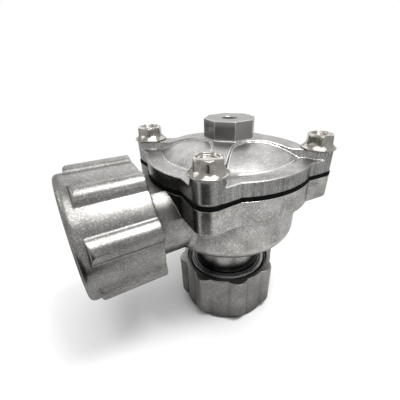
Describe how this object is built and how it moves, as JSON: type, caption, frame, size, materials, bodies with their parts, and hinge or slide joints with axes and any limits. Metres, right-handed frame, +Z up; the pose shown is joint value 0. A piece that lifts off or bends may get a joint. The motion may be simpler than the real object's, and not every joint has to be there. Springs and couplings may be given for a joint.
{
  "type": "diaphragm pulse valve",
  "caption": "Right-angle diaphragm pulse valve in cast aluminium, with ribbed compression nuts at the inlet and outlet, a bolted cover and an octagonal pilot port.",
  "frame": {"origin": "centre of the outlet pipe socket's mouth, where its straight wall starts", "axes": "+Z runs up the outlet axis, through the seat and the diaphragm, to the pilot port. The inlet leaves along -X. +Y completes the right-handed frame."},
  "size_m": [0.1361, 0.0936, 0.1263],
  "materials": {
    "die_cast_aluminium": "die cast, tumbled, fine speckle",
    "nickel_plated_steel": "nickel plated, worn satin",
    "zinc_plated_steel": "zinc plated, satin",
    "stainless_steel": "machined",
    "eyelet_brass": "pressed",
    "black_rubber": "moulded, matt"
  },
  "bodies": {
    "housing": {"valve_body": "die_cast_aluminium", "inlet_collar": "die_cast_aluminium", "outlet_collar": "die_cast_aluminium", "cover": "die_cast_aluminium", "diaphragm": "black_rubber", "return_spring": "stainless_steel", "cover_bolt_back": "nickel_plated_steel", "cover_bolt_left": "nickel_plated_steel", "cover_bolt_front": "nickel_plated_steel", "cover_bolt_right": "nickel_plated_steel"},
    "diaphragm_pack": {"upper_disc": "zinc_plated_steel", "lower_disc": "zinc_plated_steel", "seat_pad": "black_rubber", "centre_stud": "stainless_steel", "stud_washer": "stainless_steel", "stud_nut": "stainless_steel", "bleed_eyelet": "eyelet_brass"},
    "outlet_gland": {"outlet_washer": "zinc_plated_steel", "outlet_grommet": "black_rubber"},
    "outlet_nut": {"outlet_nut": "die_cast_aluminium"},
    "inlet_gland": {"inlet_washer": "zinc_plated_steel", "inlet_grommet": "black_rubber"},
    "inlet_nut": {"inlet_nut": "die_cast_aluminium"}
  },
  "joints": [
    {"name": "diaphragm_lift", "type": "slide", "parent": "housing", "child": "diaphragm_pack", "axis": [0, 0, 1], "range_m": [0, 0.0065], "stiffness_N_per_m": 900, "springref_m": -0.0055, "deforming": ["return_spring", "diaphragm"]},
    {"name": "outlet_gland_slide", "type": "slide", "parent": "housing", "child": "outlet_gland", "axis": [0, 0, -1], "range_m": [0, 0.012]},
    {"name": "outlet_nut_turn", "type": "hinge", "parent": "outlet_gland", "child": "outlet_nut", "pos_m": [0, 0, 0], "axis": [0, 0, -1], "range_deg": [0, 2160]},
    {"name": "inlet_gland_slide", "type": "slide", "parent": "housing", "child": "inlet_gland", "axis": [-1, 0, 0], "range_m": [0, 0.012]},
    {"name": "inlet_nut_turn", "type": "hinge", "parent": "inlet_gland", "child": "inlet_nut", "pos_m": [-0.0648, 0, 0.0558], "axis": [-1, 0, 0], "range_deg": [0, 2160]}
  ],
  "couplings": [
    {"joint": "outlet_gland_slide", "follows": "outlet_nut_turn", "m_per_rad": 0.00031831},
    {"joint": "inlet_gland_slide", "follows": "inlet_nut_turn", "m_per_rad": 0.00031831}
  ]
}
